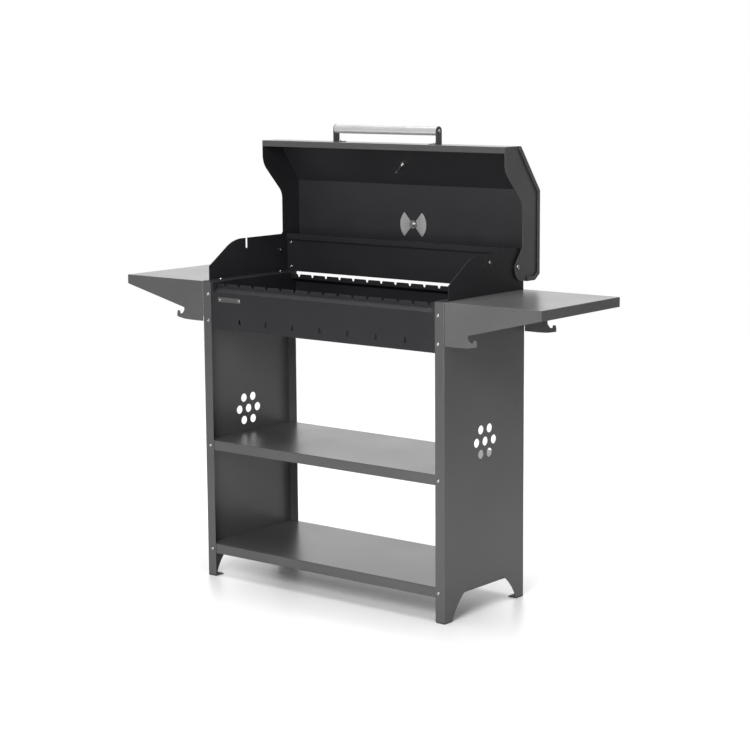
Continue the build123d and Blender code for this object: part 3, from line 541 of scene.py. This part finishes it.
def makeBead(name, start, end, body, material):
    # rippled fillet weld with slim ends
    start = Vector(start)
    end = Vector(end)
    along = end - start
    length = along.length
    direction = along.normalized()
    across = direction.orthogonal().normalized()
    up = direction.cross(across)
    angles = [2 * math.pi * index / weldBead["sides"] for index in range(weldBead["sides"])]
    outline = [(math.cos(angle), math.sin(angle)) for angle in angles]
    total = int(length / weldBead["ripple"]) * weldBead["ringsEach"]
    centres = []
    for ring in range(total + 1):
        share = ring / total
        wave = 1 - weldBead["depth"] * abs(math.sin(math.pi * ring / weldBead["ringsEach"]))
        taper = min(1.0, weldBead["tip"] + weldBead["widening"] * min(share, 1 - share))
        size = weldBead["radius"] * wave * taper
        centres.append((start + along * share, size, size))
    vertices, faces = sweptRings(centres, across, up, outline)
    return makePiece(name, vertices, faces, body, material)


def makeFireboxWelds():
    # one bead up each of the firebox's four corners
    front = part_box("firebox_front_wall")
    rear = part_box("firebox_rear_wall")
    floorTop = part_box("firebox_floor")[1][2]
    topZ = front[1][2] - weldBead["topDrop"]
    count = 0
    for side, x in (("left", front[0][0]), ("right", front[1][0])):
        inset = weldBead["inset"] if side == "left" else -weldBead["inset"]
        frontY = front[0][1] + weldBead["setIn"]
        rearY = rear[1][1] - weldBead["setIn"]
        for edge, y in (("front", frontY), ("rear", rearY)):
            makeBead(
                f"weld_{side}_{edge}",
                (x + inset, y, floorTop + weldBead["clear"]),
                (x + inset, y, topZ),
                "stand", finishes["black_heat_paint"],
            )
            count += 1
    print("weld beads made:", count)


plateRim = {"width": 0.0016, "height": 0.0004, "sunk": 0.0001, "corner": 0.003, "turns": 6, "inset": 0.0018,
            "profile": ((0.0, 0.0), (0.3, 1.0), (0.7, 1.0), (1.0, 0.0))}


def makePlateRim():
    # raised border round the blank plate
    low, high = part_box("name_plate")
    halfWide = (high[0] - low[0]) / 2 - plateRim["inset"]
    halfTall = (high[2] - low[2]) / 2 - plateRim["inset"]
    middle = Vector(((low[0] + high[0]) / 2, low[1], (low[2] + high[2]) / 2))
    line = []
    for quarter, (sx, sz) in enumerate(((1, 1), (-1, 1), (-1, -1), (1, -1))):
        for step in range(plateRim["turns"] + 1):
            angle = math.pi / 2 * (quarter + step / plateRim["turns"])
            line.append((sx * (halfWide - plateRim["corner"]), sz * (halfTall - plateRim["corner"]),
                         math.cos(angle), math.sin(angle)))
    vertices = []
    faces = []
    profile = plateRim["profile"]
    for x, z, cosine, sine in line:
        for share, rise in profile:
            reach = plateRim["corner"] - plateRim["width"] * share
            depth = -plateRim["height"] * rise + plateRim["sunk"] * (1 - rise)
            vertices.append(middle + Vector((x + cosine * reach, depth, z + sine * reach)))
    count = len(line)
    width = len(profile)
    for index in range(count):
        after = (index + 1) % count
        for strip in range(width):
            beside = (strip + 1) % width
            faces.append((
                index * width + strip, index * width + beside, after * width + beside, after * width + strip,
            ))
    makePiece("plate_rim", vertices, faces, "stand", finishes["dark_plate"])
    print("plate rim made")


dialMarks = {"low": 225.0, "sweep": 270.0, "steps": 30, "major": 5, "outer": 0.0268,
             "short": 0.0018, "long": 0.0036, "thin": 0.0003, "thick": 0.0006, "lift": 0.00012,
             "numberRadius": 0.0195, "numberSize": 0.0046, "numberCurve": 3, "first": 50, "step": 50}


def dialPlane():
    # middle of the dial's face, its right-hand and upward directions as read with the lid closed
    joint = jointNamed("thermometer_needle_turn")
    middle = Vector(joint["pos_m"])
    outward = -Vector(joint["axis"])
    right = Vector((1, 0, 0))
    depth = max((vertex.co - middle).dot(outward) for vertex in nodes["thermometer_dial"].data.vertices)
    return middle + outward * depth, right, outward.cross(right), outward


def makeDialMarks():
    centre, right, upward, outward = dialPlane()
    vertices = []
    faces = []
    for step in range(dialMarks["steps"] + 1):
        angle = math.radians(dialMarks["low"] - dialMarks["sweep"] * step / dialMarks["steps"])
        ray = right * math.cos(angle) + upward * math.sin(angle)
        aside = outward.cross(ray)
        major = step % dialMarks["major"] == 0
        length = dialMarks["long"] if major else dialMarks["short"]
        half = (dialMarks["thick"] if major else dialMarks["thin"]) / 2
        start = len(vertices)
        for level in (0.0, dialMarks["lift"]):
            for reach, turn in ((0, -1), (0, 1), (length, 1), (length, -1)):
                along = ray * (dialMarks["outer"] - reach)
                vertices.append(centre + outward * level + along + aside * (half * turn))
        for face in ((0, 1, 2, 3), (4, 7, 6, 5), (0, 4, 5, 1), (1, 5, 6, 2), (2, 6, 7, 3), (3, 7, 4, 0)):
            faces.append(tuple(start + index for index in face))
    marks = makePiece("dial_marks", vertices, faces, "lid", finishes["plug_plastic"])
    for face in marks.data.polygons:
        face.use_smooth = False
    made = 0
    for step in range(0, dialMarks["steps"] + 1, dialMarks["major"]):
        angle = math.radians(dialMarks["low"] - dialMarks["sweep"] * step / dialMarks["steps"])
        curve = bpy.data.curves.new("dialNumber", "FONT")
        place = step // dialMarks["major"]
        curve.body = str(dialMarks["first"] + dialMarks["step"] * place)
        curve.size = dialMarks["numberSize"]
        curve.align_x = "CENTER"
        curve.align_y = "CENTER"
        curve.extrude = dialMarks["lift"] / 2
        curve.resolution_u = dialMarks["numberCurve"]
        text = bpy.data.objects.new("dialNumber", curve)
        scene.collection.objects.link(text)
        spot = centre + (right * math.cos(angle) + upward * math.sin(angle)) * dialMarks["numberRadius"]
        spot = spot + outward * (dialMarks["lift"] / 2)
        basis = Matrix((right, upward, outward)).transposed().to_4x4()
        bpy.context.view_layer.update()
        mesh = bpy.data.meshes.new_from_object(text.evaluated_get(bpy.context.evaluated_depsgraph_get()))
        mesh.transform(Matrix.Translation(spot) @ basis)
        bpy.data.objects.remove(text)
        number = bpy.data.objects.new(f"dial_number_{place + 1}", mesh)
        scene.collection.objects.link(number)
        dress(number, finishes["plug_plastic"])
        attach(number, "lid")
        made += 1
    print("dial marks made, numbers:", made)


makeFireboxWelds()
makePlateRim()
makeDialMarks()


def makeFloor():
    mesh = bpy.data.meshes.new("floor")
    half = studio["floorRadius"]
    corners = [(-half, -half, 0), (half, -half, 0), (half, half, 0), (-half, half, 0)]
    mesh.from_pydata(corners, [], [(0, 1, 2, 3)])
    floor = bpy.data.objects.new("floor", mesh)
    scene.collection.objects.link(floor)
    dress(floor, floorPaper("floorPaper"))


makeFloor()
print("floor made")
